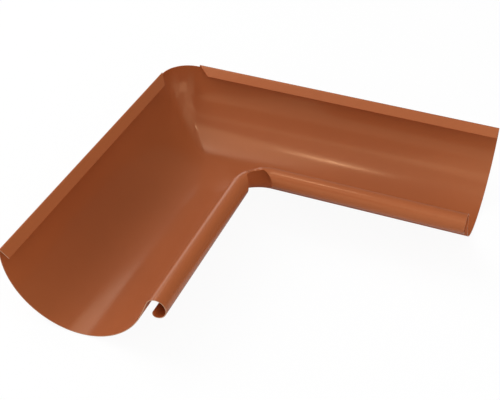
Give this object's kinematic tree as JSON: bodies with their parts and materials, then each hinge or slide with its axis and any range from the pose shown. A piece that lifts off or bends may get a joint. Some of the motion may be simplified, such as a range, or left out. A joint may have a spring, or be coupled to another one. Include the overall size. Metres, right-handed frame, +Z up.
{
  "type": "internal gutter angle",
  "caption": "Half-round eaves gutter turned through a right angle for an inner roof corner, drawn from one sheet, with a rolled bead on the inner side and a folded back edge.",
  "frame": {"origin": "where the centre lines of the two troughs cross, on the level that the trough bottoms rest on", "axes": "+Z up; one arm runs along +X and the other along -Y; the back walls face +Y and -X, towards the eaves"},
  "size_m": [0.324, 0.324, 0.0649],
  "materials": {
    "coated_steel": "satin polyester coating, brick brown"
  },
  "bodies": {
    "root": {"gutter_angle": "coated_steel"}
  },
  "joints": []
}
